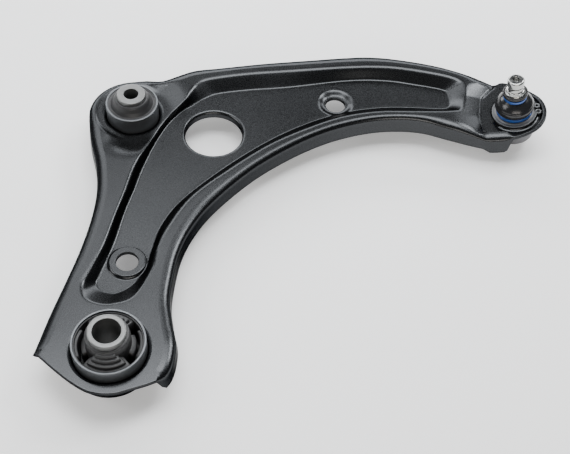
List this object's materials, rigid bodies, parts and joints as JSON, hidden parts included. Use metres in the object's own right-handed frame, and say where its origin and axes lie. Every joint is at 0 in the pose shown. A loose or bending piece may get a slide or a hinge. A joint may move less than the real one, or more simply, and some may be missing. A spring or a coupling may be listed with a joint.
{
  "type": "front lower control arm",
  "caption": "Pressed steel L-shaped lower control arm with two vertical rubber bushes, a voided rear bush and a clamped ball joint stud.",
  "frame": {"origin": "axis of the front bush bore, level with the top face of the pressing", "axes": "+X towards the ball joint, +Z along the bush bores towards the ball stud's side, rear bush at -Y"},
  "size_m": [0.4326, 0.3596, 0.0747],
  "materials": {
    "black_coat": "satin black dip coat with a blue-grey sheen",
    "phosphated_steel": "dull grey phosphated steel",
    "turned_steel": "fine turned steel, slightly matt",
    "bush_rubber": "matt moulded rubber",
    "dark_steel": "dark oiled steel",
    "spring_steel": "blackened spring steel with bright edges",
    "bright_steel": "bright ground steel",
    "seat_plastic": "natural acetal plastic",
    "boot_rubber": "glossy smooth rubber",
    "blue_ring": "glossy blue coating"
  },
  "bodies": {
    "arm": {"arm_pressing": "black_coat", "front_outer_sleeve": "phosphated_steel", "front_rubber": "bush_rubber", "rear_outer_sleeve": "phosphated_steel", "rear_rubber": "bush_rubber", "joint_housing": "dark_steel", "ball_seat": "seat_plastic", "cover_plate": "dark_steel", "circlip": "spring_steel", "lower_clamp_ring": "blue_ring"},
    "front_mounting": {"front_inner_sleeve": "turned_steel"},
    "rear_mounting": {"rear_inner_sleeve": "turned_steel"},
    "boot": {"dust_boot": "boot_rubber"},
    "boot_collar": {"upper_clamp_ring": "blue_ring"},
    "stud": {"ball_stud": "bright_steel"}
  },
  "joints": [
    {"name": "rear_bush_swing", "type": "hinge", "parent": "arm", "child": "rear_mounting", "pos_m": [0, -0.243, -0.005], "axis": [0, 1, 0], "range_deg": [-12, 12], "stiffness_Nm_per_rad": 90, "deforming": ["rear_rubber"]},
    {"name": "front_bush_swing", "type": "hinge", "parent": "arm", "child": "front_mounting", "pos_m": [0, 0, -0.005], "axis": [0, 1, 0], "range_deg": [-12, 12], "stiffness_Nm_per_rad": 90, "deforming": ["front_rubber"]},
    {"name": "stud_lean_fore_aft", "type": "hinge", "parent": "arm", "child": "boot", "pos_m": [0.34803, 0.0075, -0.00785], "axis": [0.9816, 0, 0.1908], "range_deg": [-14, 14], "deforming": ["dust_boot"]},
    {"name": "stud_lean_in_out", "type": "hinge", "parent": "boot", "child": "boot_collar", "pos_m": [0.34803, 0.0075, -0.00785], "axis": [0, 1, 0], "range_deg": [-14, 14], "deforming": ["dust_boot"]},
    {"name": "stud_turn", "type": "hinge", "parent": "boot_collar", "child": "stud", "pos_m": [0.34803, 0.0075, -0.00785], "axis": [-0.1908, 0, 0.9816], "continuous": true}
  ],
  "couplings": [
    {"joint": "front_bush_swing", "follows": "rear_bush_swing", "ratio": 1}
  ]
}
